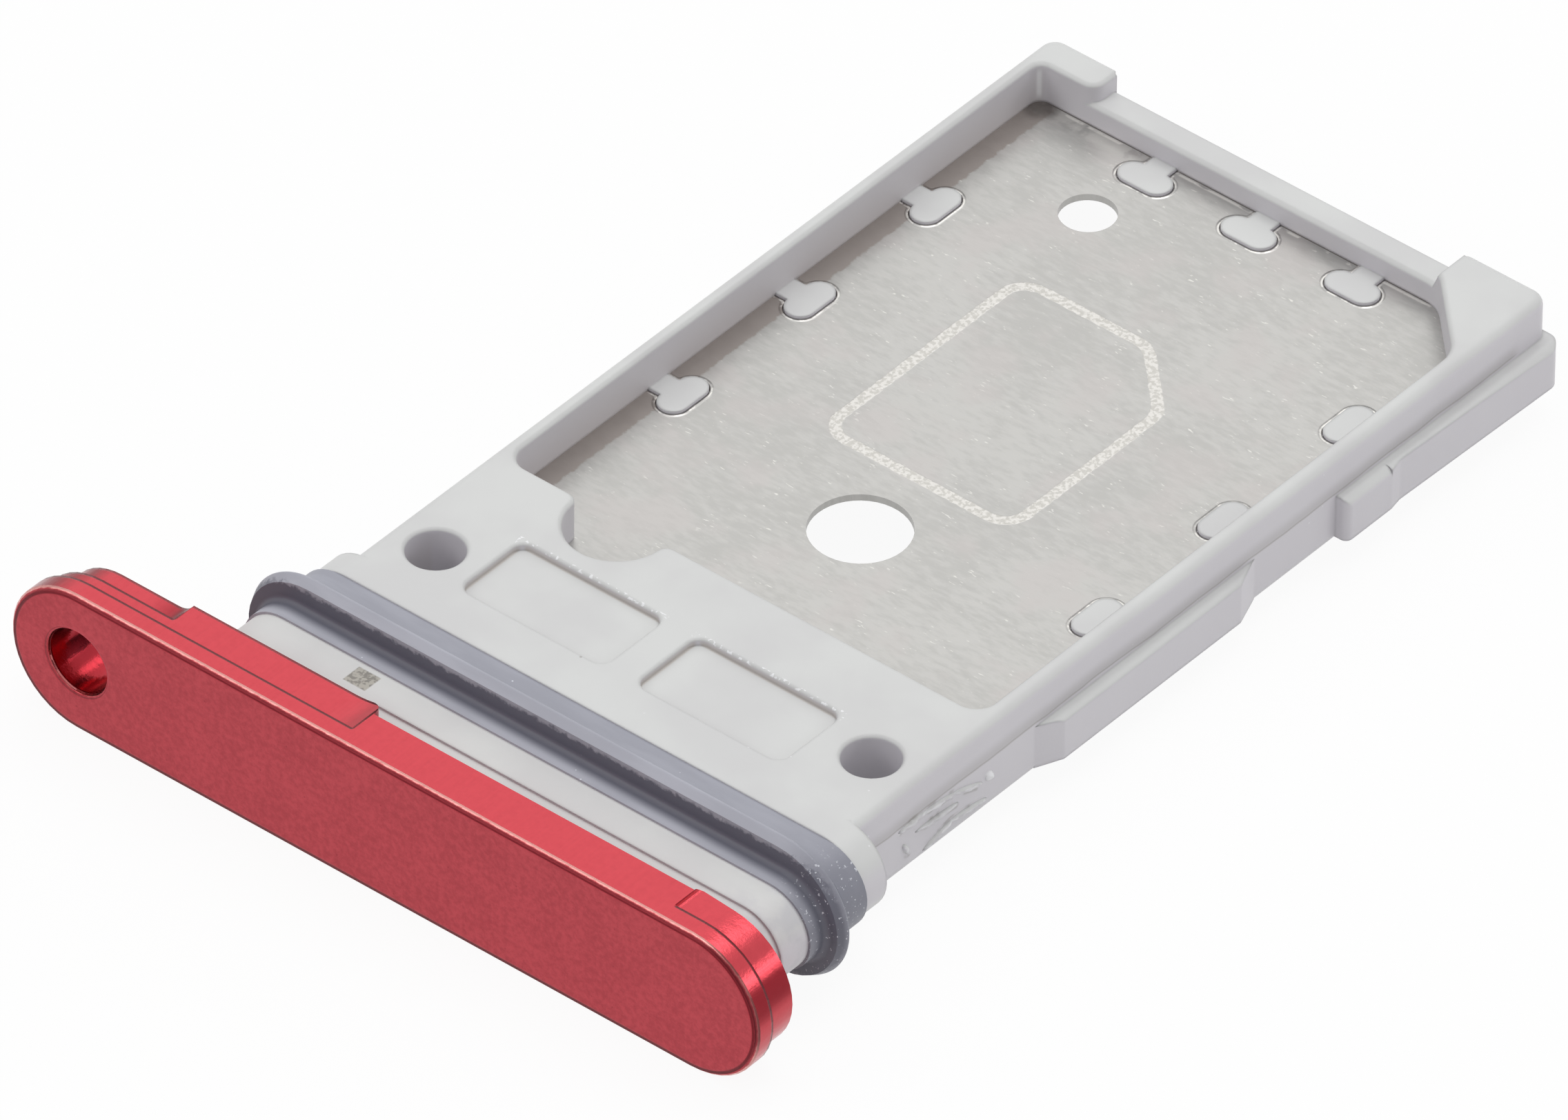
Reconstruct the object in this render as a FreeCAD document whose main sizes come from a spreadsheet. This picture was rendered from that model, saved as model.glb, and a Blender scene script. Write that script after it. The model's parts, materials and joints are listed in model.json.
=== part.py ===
import FreeCAD, Part
import Sketcher
import math
import os

# A two-sided tray for small cards: an anodised end cap, a moulded frame with a rubber seal
# round its neck, and a stamped floor plate held in the frame.
# X runs along the cap, Y from the cap inwards, Z up. All sizes are in millimetres.

Vector = FreeCAD.Vector
doc = FreeCAD.newDocument("CardTray")

sizes = {
    # end cap
    "capLength": 14.34,
    "capHeight": 2.56,
    "capDepth": 1.05,
    "flangeDepth": 0.35,
    "middleDepth": 0.79,
    "capChamfer": 0.06,
    "padInset": 0.1,
    "padCorner": 0.24,
    "leftPadLength": 6.36,
    "leftPadRunOut": 0.56,
    "rightPadLength": 1.87,
    "rightPadDepth": 0.9,
    "rightPadRunOut": 0.07,
    "pinBore": 1.11,
    "pinLip": 0.09,
    "pinRecessInset": 0.26,
    "pinRecessDepth": 0.42,
    "pinRecessLength": 2.67,
    "pinRecessRunOut": 0.28,
    # neck of the frame, between the cap and the flange
    "trayOffset": 1.0,
    "neckLength": 2.31,
    "neckHalfWidth": 5.39,
    "neckRadius": 0.73,
    "neckStepDepth": 0.04,
    "neckStepLength": 0.42,
    "neckStepStart": 2.36,
    "neckStepRunOut": 0.08,
    "tongueHalfWidth": 4.5,
    "tongueRadius": 0.45,
    "tongueLength": 0.3,
    # flange and head
    "flangeThickness": 0.53,
    "flangeHalfWidth": 5.36,
    "flangeRadius": 0.79,
    "headLength": 3.1,
    "locatingBore": 0.925,
    "locatingSpread": 3.96,
    "leftLocatingBack": 2.29,
    "rightLocatingBack": 1.78,
    "recessDepth": 0.12,
    "recessWidth": 2.78,
    "recessLength": 1.44,
    "recessBack": 1.31,
    "leftRecessX": -1.74,
    "rightRecessX": 1.64,
    "recessCorner": 0.22,
    # frame round the card pocket
    "trayWidth": 9.6,
    "trayThickness": 1.58,
    "sideWall": 0.27,
    "pocketLength": 12.37,
    "farWall": 0.64,
    "farCorner": 0.27,
    "pocketCorner": 0.34,
    "farPocketCorner": 0.2,
    "cutCorner": 1.35,
    "cutCornerRound": 0.6,
    "topRound": 0.17,
    "bottomRound": 0.12,
    "lowWallDrop": 0.325,
    "lowWallInset": 0.12,
    "lowWallLeft": -3.45,
    "lowWallRight": 3.1,
    "lowWallRamp": 0.3,
    "lowWallCorner": 0.24,
    "bayRadius": 0.82,
    "bayX": -2.3,
    "bayCentreBack": 0.12,
    "bayCorner": 0.2,
    "mouthBevel": 0.05,
    "undersideBevel": 0.03,
    "lowWallBevel": 0.06,
    "boreBevel": 0.04,
    "recessBevel": 0.03,
    # rails on the sides
    "railWidth": 0.2,
    "railTop": 0.05,
    "railRound": 0.16,
    "mainRailStart": 0.96,
    "mainRailLength": 4.1,
    "mainRailRampIn": 0.45,
    "mainRailRampOut": 0.55,
    "farRailStart": 7.96,
    "farRailWidth": 0.15,
    "farRailFlare": 0.13,
    "farRailEnd": 0.02,
    "farRailCorner": 0.25,
    "lugWidth": 0.23,
    "lugLength": 1.05,
    "lugRamp": 0.43,
    "lugCorner": 0.12,
    # floor plate and the keys that lock it
    "plateThickness": 0.12,
    "plateRim": 0.12,
    "plateTail": 1.24,
    "plateCorner": 0.3,
    "keyNeck": 0.44,
    "keyHead": 0.94,
    "keyHeadLength": 0.5,
    "keyReach": 0.73,
    "rightKeyReach": 0.86,
    "keyRise": 0.04,
    "keyGap": 0.015,
    "sideKeyFirst": 3.47,
    "sideKeyPitch": 2.94,
    "sideKeyCount": 3,
    "farKeyFirst": -2.07,
    "farKeyPitch": 2.0,
    "farKeyCount": 3,
    "largeHole": 1.61,
    "largeHoleX": -0.06,
    "largeHoleBack": 2.8,
    "smallHole": 0.91,
    "smallHoleX": -2.22,
    "smallHoleToEnd": 1.65,
    # seal
    "sealLength": 1.29,
    "sealSkin": 0.04,
    "lipEndInset": 0.17,
    "lipFaceBack": 0.93,
    "lipFaceHeight": 0.42,
    "lipCrestBack": 0.75,
    "lipCrestHeight": 0.51,
    "lipHeelBack": 0.51,
    "lipHeelHeight": 0.12,
    "lipFootRound": 0.1,
    "lipCrestRound": 0.04,
}

sheet = doc.addObject("Spreadsheet::Sheet", "sizes")
for row, (alias, value) in enumerate(sizes.items(), start=1):
    sheet.set("A%d" % row, alias)
    sheet.set("B%d" % row, str(value))
    sheet.setAlias("B%d" % row, alias)
doc.recompute()


class Size:
    """A length with its value and the expression that binds it to the sheet."""

    def __init__(self, value, text):
        self.value = value
        self.text = text

    def combine(self, other, sign, value):
        return Size(value, "(%s %s %s)" % (self.text, sign, other.text))

    def __add__(self, other):
        other = size(other)
        return self.combine(other, "+", self.value + other.value)

    def __sub__(self, other):
        other = size(other)
        return self.combine(other, "-", self.value - other.value)

    def __mul__(self, other):
        other = size(other)
        return self.combine(other, "*", self.value * other.value)

    def __truediv__(self, other):
        other = size(other)
        return self.combine(other, "/", self.value / other.value)

    def __neg__(self):
        return Size(-self.value, "(0 - %s)" % self.text)


def size(thing):
    if isinstance(thing, Size):
        return thing
    return Size(float(thing), repr(float(thing)))


def named(alias):
    return Size(sizes[alias], "sizes." + alias)


def bind(target, path, length):
    target.setExpression(path, length.text)


# Stations along Y, from the face of the cap to the far end of the frame
overall = (named("capDepth") + named("neckLength") + named("flangeThickness") + named("headLength")
           + named("pocketLength") + named("farWall"))
front = -(overall / 2)
capBack = front + named("capDepth")
middleBack = front + named("middleDepth")
flangeFront = capBack + named("neckLength")
headFront = flangeFront + named("flangeThickness")
pocketNear = headFront + named("headLength")
pocketFar = pocketNear + named("pocketLength")
farEnd = pocketFar + named("farWall")

# Stations along the cap, where the thicker middle behind its rim begins and ends
capEnd = named("capLength") / 2
middleLeft = named("leftPadLength") - capEnd
middleRight = capEnd - named("rightPadLength")
rightBack = front + named("rightPadDepth")

halfThick = named("trayThickness") / 2
halfPlate = named("plateThickness") / 2
halfTray = named("trayWidth") / 2
halfPocket = halfTray - named("sideWall")
zero = size(0)


# Sketch and feature helpers
def newBody(name, shiftX):
    body = doc.addObject("PartDesign::Body", name)
    body.Label = name
    body.Placement = FreeCAD.Placement(Vector(shiftX.value, 0, sizes["capHeight"] / 2), FreeCAD.Rotation())
    bind(body, "Placement.Base.x", shiftX)
    bind(body, "Placement.Base.z", named("capHeight") / 2)
    return body


def originPart(body, role):
    return [part for part in body.Origin.OriginFeatures if part.Role == role][0]


def newSketch(body, name, plane, offset=zero):
    """A sketch on an origin plane, moved along that plane's normal by offset."""
    sketch = body.newObject("Sketcher::SketchObject", name)
    sketch.AttachmentSupport = [(originPart(body, plane), "")]
    sketch.MapMode = "FlatFace"
    sketch.AttachmentOffset = FreeCAD.Placement(Vector(0, 0, offset.value), FreeCAD.Rotation())
    bind(sketch, "AttachmentOffset.Base.z", offset)
    return sketch


def acrossAt(body, name, y):
    """A sketch facing along Y, at a station: sketch x is X and sketch y is Z."""
    return newSketch(body, name, "XZ_Plane", -y)


def planAt(body, name, z):
    return newSketch(body, name, "XY_Plane", z)


def dimension(sketch, kind, where, length):
    index = sketch.addConstraint(Sketcher.Constraint(kind, *where, length.value))
    bind(sketch, "Constraints[%d]" % index, length)


def placePoint(sketch, geometry, point, x, y):
    dimension(sketch, "DistanceX", (-1, 1, geometry, point), x)
    dimension(sketch, "DistanceY", (-1, 1, geometry, point), y)


def drawCircle(sketch, x, y, radius):
    circle = sketch.addGeometry(Part.Circle(Vector(x.value, y.value, 0), Vector(0, 0, 1), radius.value))
    placePoint(sketch, circle, 3, x, y)
    dimension(sketch, "Radius", (circle,), radius)


def drawArc(sketch, x, y, radius, start, end):
    circle = Part.Circle(Vector(x.value, y.value, 0), Vector(0, 0, 1), radius.value)
    return sketch.addGeometry(Part.ArcOfCircle(circle, math.radians(start), math.radians(end)))


def drawLine(sketch, x0, y0, x1, y1):
    return sketch.addGeometry(Part.LineSegment(Vector(x0.value, y0.value, 0), Vector(x1.value, y1.value, 0)))


def join(sketch, first, firstPoint, second, secondPoint, kind="Coincident"):
    sketch.addConstraint(Sketcher.Constraint(kind, first, firstPoint, second, secondPoint))


def drawSlot(sketch, halfWidth, radius, x=zero, y=zero):
    """A long hole lying along sketch x: halfWidth is from its centre to the tip of its round end."""
    reach = halfWidth - radius
    right = drawArc(sketch, x + reach, y, radius, -90, 90)
    left = drawArc(sketch, x - reach, y, radius, 90, 270)
    top = drawLine(sketch, x + reach, y + radius, x - reach, y + radius)
    bottom = drawLine(sketch, x - reach, y - radius, x + reach, y - radius)
    join(sketch, right, 2, top, 1, "Tangent")
    join(sketch, top, 2, left, 1, "Tangent")
    join(sketch, left, 2, bottom, 1, "Tangent")
    join(sketch, bottom, 2, right, 1, "Tangent")
    placePoint(sketch, right, 3, x + reach, y)
    placePoint(sketch, left, 3, x - reach, y)
    dimension(sketch, "Radius", (right,), radius)


def drawOutline(sketch, corners):
    """A closed outline of straight edges through the corners."""
    edges = []
    for index, (x, y) in enumerate(corners):
        nextX, nextY = corners[(index + 1) % len(corners)]
        edges.append(drawLine(sketch, x, y, nextX, nextY))
    for index, edge in enumerate(edges):
        join(sketch, edge, 2, edges[(index + 1) % len(edges)], 1)
        placePoint(sketch, edge, 1, *corners[index])


def drawBox(sketch, left, right, low, high):
    drawOutline(sketch, [(left, low), (right, low), (right, high), (left, high)])


def drawOutside(sketch, side, centre, radius, end, runOut, height):
    """All that lies outside a round end of the given radius, on one side of end.

    The floor runs level from the round end and curves up to height over the last runOut.
    """
    beyond = named("capHeight")
    tip = centre + beyond * side * 2
    level = end + runOut * side
    startAngle = 90 if side < 0 else -90
    round_ = drawArc(sketch, centre, zero, radius, startAngle, startAngle + 180)
    topLine = drawLine(sketch, level, radius, centre, radius)
    bottomLine = drawLine(sketch, level, -radius, centre, -radius)
    rise = height.value - radius.value
    bend = (runOut.value ** 2 + rise ** 2) / (2 * rise)
    swing = math.degrees(math.asin(runOut.value / bend))
    topArc, bottomArc = (
        (drawArcAt(sketch, level.value, radius.value + bend, bend, -90, -90 + swing),
         drawArcAt(sketch, level.value, -radius.value - bend, bend, 90 - swing, 90))
        if side < 0 else
        (drawArcAt(sketch, level.value, radius.value + bend, bend, -90 - swing, -90),
         drawArcAt(sketch, level.value, -radius.value - bend, bend, 90, 90 + swing)))
    join(sketch, round_, 1 if side < 0 else 2, topLine, 2, "Tangent")
    join(sketch, round_, 2 if side < 0 else 1, bottomLine, 2, "Tangent")
    join(sketch, topLine, 1, topArc, 1 if side < 0 else 2, "Tangent")
    join(sketch, bottomLine, 1, bottomArc, 2 if side < 0 else 1, "Tangent")
    placePoint(sketch, round_, 3, centre, zero)
    dimension(sketch, "Radius", (round_,), radius)
    dimension(sketch, "DistanceX", (-1, 1, topLine, 1), level)
    dimension(sketch, "DistanceX", (-1, 1, bottomLine, 1), level)
    corners = [(end, height), (end, beyond), (tip, beyond), (tip, -beyond), (end, -beyond), (end, -height)]
    lines = [drawLine(sketch, *corners[i], *corners[i + 1]) for i in range(5)]
    for first, second in zip(lines, lines[1:]):
        join(sketch, first, 2, second, 1)
    join(sketch, topArc, 2 if side < 0 else 1, lines[0], 1)
    join(sketch, bottomArc, 1 if side < 0 else 2, lines[-1], 2)
    for line, corner in zip(lines, corners):
        placePoint(sketch, line, 1, *corner)
    placePoint(sketch, lines[-1], 2, *corners[-1])


def drawArcAt(sketch, x, y, radius, start, end):
    return drawArc(sketch, size(x), size(y), size(radius), start, end)


def pad(body, sketch, length):
    """Material from the sketch, along its plane's normal."""
    feature = body.newObject("PartDesign::Pad", sketch.Name + "Pad")
    feature.Profile = sketch
    feature.Length = length.value
    bind(feature, "Length", length)
    doc.recompute()
    return feature


def pocket(body, sketch, depth):
    """A cut from the sketch, against its plane's normal, which has to remove something."""
    before = body.Shape.Volume
    feature = body.newObject("PartDesign::Pocket", sketch.Name + "Cut")
    feature.Profile = sketch
    feature.Length = depth.value
    bind(feature, "Length", depth)
    doc.recompute()
    if not body.Shape.Volume < before:
        raise RuntimeError("nothing was cut by " + feature.Name)
    return feature


def mirror(body, name, features, plane):
    feature = body.newObject("PartDesign::Mirrored", name)
    feature.Originals = features
    feature.MirrorPlane = (originPart(body, plane), [""])
    body.Tip = feature
    doc.recompute()
    return feature


def repeat(body, name, features, axis, pitch, count):
    feature = body.newObject("PartDesign::LinearPattern", name)
    feature.Originals = features
    feature.Direction = (originPart(body, axis), [""])
    span = pitch * (count - size(1))
    feature.Length = span.value
    feature.Occurrences = int(count.value)
    bind(feature, "Length", span)
    bind(feature, "Occurrences", count)
    body.Tip = feature
    doc.recompute()
    return feature


def edgeNames(body, test):
    return ["Edge%d" % (i + 1) for i, edge in enumerate(body.Tip.Shape.Edges) if test(edge)]


def upright(edge):
    return len(edge.Vertexes) == 2 and abs(edge.tangentAt(edge.FirstParameter).z) > 0.999


def near(value, length):
    return abs(value - length.value) < 1e-4


def uprightAt(*places):
    """Picks the upright edges that stand at the given places in plan."""
    def test(edge):
        point = edge.Vertexes[0].Point
        return upright(edge) and any(near(point.x, x) and near(point.y, y) for x, y in places)
    return test


def levelAt(z, keep=lambda edge: True):
    """Picks the edges that lie wholly at height z."""
    def test(edge):
        return all(near(vertex.Point.z, z) for vertex in edge.Vertexes) and \
            near(edge.CenterOfMass.z, z) and keep(edge)
    return test


def soften(body, name, test, radius, kind="Fillet"):
    """Rounds or bevels the picked edges of the body as it stands."""
    names = edgeNames(body, test)
    if not names:
        raise RuntimeError("no edge found for " + name)
    base = body.Tip
    feature = body.newObject("PartDesign::" + kind, name)
    feature.Base = (base, names)
    path = "Radius" if kind == "Fillet" else "Size"
    setattr(feature, path, radius.value)
    bind(feature, path, radius)
    doc.recompute()
    return feature


# End cap: a long rounded plate with a thicker middle and two lower pads behind its rim
def buildCap():
    body = newBody("end_cap", zero)
    radius = named("capHeight") / 2
    centre = capEnd - radius

    blank = acrossAt(body, "Blank", capBack)
    drawSlot(blank, capEnd, radius)
    pad(body, blank, named("capDepth"))

    leftPads = acrossAt(body, "LeftPads", front + named("flangeDepth"))
    drawOutside(leftPads, -1, -centre, radius - named("padInset"), middleLeft, named("leftPadRunOut"), radius)
    pocket(body, leftPads, named("capDepth"))

    rightPads = acrossAt(body, "RightPads", front + named("flangeDepth"))
    drawOutside(rightPads, 1, centre, radius - named("padInset"), middleRight, named("rightPadRunOut"), radius)
    pocket(body, rightPads, named("capDepth"))

    pinSeat = acrossAt(body, "PinSeat", capBack - named("pinRecessDepth"))
    drawOutside(pinSeat, -1, -centre, radius - named("pinRecessInset"), named("pinRecessLength") - capEnd,
                named("pinRecessRunOut"), radius - named("padInset"))
    pocket(body, pinSeat, named("capDepth"))

    middle = planAt(body, "Middle", named("capHeight"))
    beyond = capBack + named("capDepth")
    drawOutline(middle, [(middleLeft, middleBack), (middleRight, middleBack), (middleRight, rightBack),
                         (capEnd + named("capDepth"), rightBack), (capEnd + named("capDepth"), beyond),
                         (middleLeft, beyond)])
    pocket(body, middle, named("capHeight") * 2)
    soften(body, "PadCorner", uprightAt((middleLeft, capBack)), named("padCorner"))
    soften(body, "RightPadCorner", uprightAt((middleRight, rightBack)), (rightBack - middleBack) * 0.9)

    socket = acrossAt(body, "Socket", middleBack - named("tongueLength"))
    drawSlot(socket, named("tongueHalfWidth"), named("tongueRadius"), named("trayOffset"))
    pocket(body, socket, capBack - middleBack + named("tongueLength"))

    pinHole = acrossAt(body, "PinHole", front)
    drawCircle(pinHole, -centre, zero, named("pinBore") / 2)
    pocket(body, pinHole, named("capDepth"))

    def onFace(edge):
        return all(near(vertex.Point.y, front) for vertex in edge.Vertexes)

    def roundHole(edge):
        return onFace(edge) and edge.BoundBox.XLength < sizes["pinBore"] + 0.01

    soften(body, "PinLip", roundHole, named("pinLip"))
    soften(body, "FaceEdge", lambda edge: onFace(edge) and near(edge.BoundBox.YLength, zero),
           named("capChamfer"), "Chamfer")
    return body


# Keys: the moulded heads that fill the notches of the plate and lock it in the frame
def keys(body, make):
    """Makes the notches of the plate, or the keys that fill them, with the same sketches."""
    level, height, gap = halfPlate, named("plateThickness"), named("keyGap")
    if make is pad:
        level, height, gap = -halfPlate - named("keyRise"), height + named("keyRise") * 2, zero
    halfNeck = named("keyNeck") / 2 + gap
    headRadius = named("keyHeadLength") / 2 + gap
    halfHead = named("keyHead") / 2 + gap
    root = named("plateRim") + named("plateRim") / 2

    def shape(name, side):
        neck = planAt(body, name + "Neck", level)
        head = planAt(body, name + "Head", level)
        middle = named("rightKeyReach" if side > 0 else "keyReach") + gap - headRadius
        if side == 0:
            x = named("farKeyFirst")
            drawBox(neck, x - halfNeck, x + halfNeck, pocketFar - middle, pocketFar + root)
            drawSlot(head, halfHead, headRadius, x, pocketFar - middle)
        else:
            y = pocketNear + named("sideKeyFirst")
            inner, outer = (halfPocket - middle) * side, (halfPocket + root) * side
            left, right = (inner, outer) if side > 0 else (outer, inner)
            drawBox(neck, left, right, y - halfNeck, y + halfNeck)
            drawUprightSlot(head, halfHead, headRadius, inner, y)
        return [make(body, neck, height), make(body, head, height)]

    for name, side in (("LeftKey", -1), ("RightKey", 1)):
        repeat(body, name + "s", shape(name, side), "Y_Axis", named("sideKeyPitch"), named("sideKeyCount"))
    repeat(body, "FarKeys", shape("FarKey", 0), "X_Axis", named("farKeyPitch"), named("farKeyCount"))


def drawUprightSlot(sketch, halfLength, radius, x, y):
    """A long hole lying along sketch y."""
    reach = halfLength - radius
    top = drawArc(sketch, x, y + reach, radius, 0, 180)
    bottom = drawArc(sketch, x, y - reach, radius, 180, 360)
    left = drawLine(sketch, x - radius, y + reach, x - radius, y - reach)
    right = drawLine(sketch, x + radius, y - reach, x + radius, y + reach)
    join(sketch, top, 2, left, 1, "Tangent")
    join(sketch, left, 2, bottom, 1, "Tangent")
    join(sketch, bottom, 2, right, 1, "Tangent")
    join(sketch, right, 2, top, 1, "Tangent")
    placePoint(sketch, top, 3, x, y + reach)
    placePoint(sketch, bottom, 3, x, y - reach)
    dimension(sketch, "Radius", (top,), radius)


def drawPlate(sketch):
    side = halfPocket + named("plateRim")
    drawBox(sketch, -side, side, pocketNear - named("plateTail"), pocketFar + named("plateRim"))


def plateCorners():
    side = halfPocket + named("plateRim")
    ends = (pocketNear - named("plateTail"), pocketFar + named("plateRim"))
    return uprightAt(*[(x, y) for x in (side, -side) for y in ends])


# Floor plate: a stamped sheet with notches in three of its edges and two round holes
def buildPlate():
    body = newBody("floor_plate", named("trayOffset"))
    sheetMetal = planAt(body, "SheetMetal", -halfPlate)
    drawPlate(sheetMetal)
    pad(body, sheetMetal, named("plateThickness"))
    soften(body, "PlateCorners", plateCorners(), named("plateCorner"))
    keys(body, pocket)
    holes = planAt(body, "Holes", halfPlate)
    drawCircle(holes, named("largeHoleX"), pocketNear + named("largeHoleBack"), named("largeHole") / 2)
    drawCircle(holes, named("smallHoleX"), pocketFar - named("smallHoleToEnd"), named("smallHole") / 2)
    pocket(body, holes, named("plateThickness"))
    return body


# Frame: neck, flange, head and the walls round the pocket, moulded in one piece
def buildFrame():
    body = newBody("tray_frame", named("trayOffset"))
    block = planAt(body, "Block", -halfThick)
    drawBox(block, -halfTray, halfTray, headFront, farEnd)
    pad(body, block, named("trayThickness"))
    soften(body, "FarCorners", uprightAt((-halfTray, farEnd), (halfTray, farEnd)), named("farCorner"))

    def outer(edge):
        return not near(edge.CenterOfMass.y, headFront)

    soften(body, "TopRound", levelAt(halfThick, outer), named("topRound"))
    soften(body, "BottomRound", levelAt(-halfThick, outer), named("bottomRound"))
    addNeck(body)
    cutPockets(body)
    addRails(body)
    seatPlate(body)
    cutHead(body)
    easeMouths(body)
    return body


def addNeck(body):
    flange = acrossAt(body, "Flange", headFront)
    drawSlot(flange, named("flangeHalfWidth"), named("flangeRadius"))
    pad(body, flange, named("flangeThickness"))
    neck = acrossAt(body, "Neck", flangeFront)
    drawSlot(neck, named("neckHalfWidth"), named("neckRadius"))
    pad(body, neck, flangeFront - capBack)

    nose = planAt(body, "Nose", -named("neckRadius"))
    drawBox(nose, middleLeft - named("trayOffset"), middleRight - named("trayOffset"), middleBack,
            capBack + named("neckStepLength") / 2)
    pad(body, nose, named("neckRadius") * 2)
    noseEnd = acrossAt(body, "NoseEnd", capBack)
    halfEnd = (named("neckHalfWidth") + named("neckRadius") + named("trayOffset") - middleRight) / 2
    drawSlot(noseEnd, halfEnd, named("neckRadius"), named("neckHalfWidth") - halfEnd)
    pad(body, noseEnd, capBack - rightBack)

    step = acrossAt(body, "Step", middleBack)
    inner = named("neckRadius") - named("neckStepDepth")
    drawOutside(step, 1, named("neckHalfWidth") - named("neckRadius"), inner, -named("neckStepStart"),
                named("neckStepRunOut"), named("neckRadius"))
    pocket(body, step, capBack + named("neckStepLength") - middleBack)

    tongue = acrossAt(body, "Tongue", capBack)
    drawSlot(tongue, named("tongueHalfWidth"), named("tongueRadius"))
    pad(body, tongue, capBack - middleBack + named("tongueLength"))


def cutPockets(body):
    depth = halfThick - halfPlate
    cardPocket = planAt(body, "CardPocket", halfThick)
    cut = named("cutCorner")
    drawOutline(cardPocket, [(-halfPocket, pocketNear), (halfPocket, pocketNear), (halfPocket, pocketFar - cut),
                             (halfPocket - cut, pocketFar), (-halfPocket, pocketFar)])
    pocketCut = pocket(body, cardPocket, depth)
    bay = planAt(body, "Bay", halfThick)
    drawCircle(bay, named("bayX"), pocketNear - named("bayCentreBack"), named("bayRadius"))
    bayCut = pocket(body, bay, depth)
    low = acrossAt(body, "LowWall", pocketFar - cut / 2)
    lowTop = halfThick - named("lowWallDrop")
    drawOutline(low, [(named("lowWallLeft"), lowTop), (named("lowWallRight"), lowTop),
                      (named("lowWallRight") + named("lowWallRamp"), halfThick + named("lowWallDrop")),
                      (named("lowWallLeft"), halfThick + named("lowWallDrop"))])
    lowCut = pocket(body, low, cut + named("farWall"))
    mirror(body, "Underside", [pocketCut, bayCut, lowCut], "XY_Plane")
    back = planAt(body, "LowWallBack", halfThick)
    drawSetBack(back, named("lowWallLeft"), named("lowWallRight") + named("lowWallRamp") / 2,
                farEnd - named("lowWallInset"), farEnd + named("farWall"), named("lowWallCorner"))
    pocket(body, back, named("trayThickness"))

    mouth = size(math.sqrt(sizes["bayRadius"] ** 2 - sizes["bayCentreBack"] ** 2))
    soften(body, "PocketCorners", uprightAt((-halfPocket, pocketNear), (halfPocket, pocketNear)),
           named("pocketCorner"))
    soften(body, "FarPocketCorner", uprightAt((-halfPocket, pocketFar)), named("farPocketCorner"))
    soften(body, "CutCornerRounds", uprightAt((halfPocket, pocketFar - cut), (halfPocket - cut, pocketFar)),
           named("cutCornerRound"))
    soften(body, "BayMouth", uprightAt((named("bayX") - mouth, pocketNear), (named("bayX") + mouth, pocketNear)),
           named("bayCorner"))
    soften(body, "LowWallCorner", uprightAt((named("lowWallLeft"), pocketFar)), named("lowWallCorner"))


def drawSetBack(sketch, left, right, low, high, radius):
    """A box over the far wall, whose ends leave round corners on the wall beside it."""
    corner = farEnd - radius
    turn = math.degrees(math.asin((low.value - corner.value) / radius.value))
    swing = radius.value * (1 - math.cos(math.radians(turn)))
    leftX, rightX = left - radius, right + radius
    leftArc = drawArc(sketch, leftX, corner, radius, turn, 90)
    rightArc = drawArc(sketch, rightX, corner, radius, 90, 180 - turn)
    up = drawLine(sketch, leftX, farEnd, leftX, high)
    top = drawLine(sketch, leftX, high, rightX, high)
    down = drawLine(sketch, rightX, high, rightX, farEnd)
    bottom = drawLine(sketch, right + swing, low, left - swing, low)
    join(sketch, leftArc, 2, up, 1)
    join(sketch, up, 2, top, 1)
    join(sketch, top, 2, down, 1)
    join(sketch, down, 2, rightArc, 1)
    join(sketch, rightArc, 2, bottom, 1)
    join(sketch, bottom, 2, leftArc, 1)
    for arc, x in ((leftArc, leftX), (rightArc, rightX)):
        placePoint(sketch, arc, 3, x, corner)
        dimension(sketch, "Radius", (arc,), radius)
    dimension(sketch, "DistanceX", (-1, 1, up, 1), leftX)
    dimension(sketch, "DistanceX", (-1, 1, down, 2), rightX)
    placePoint(sketch, up, 2, leftX, high)
    placePoint(sketch, down, 1, rightX, high)
    dimension(sketch, "DistanceY", (-1, 1, bottom, 1), low)
    dimension(sketch, "DistanceY", (-1, 1, bottom, 2), low)


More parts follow.
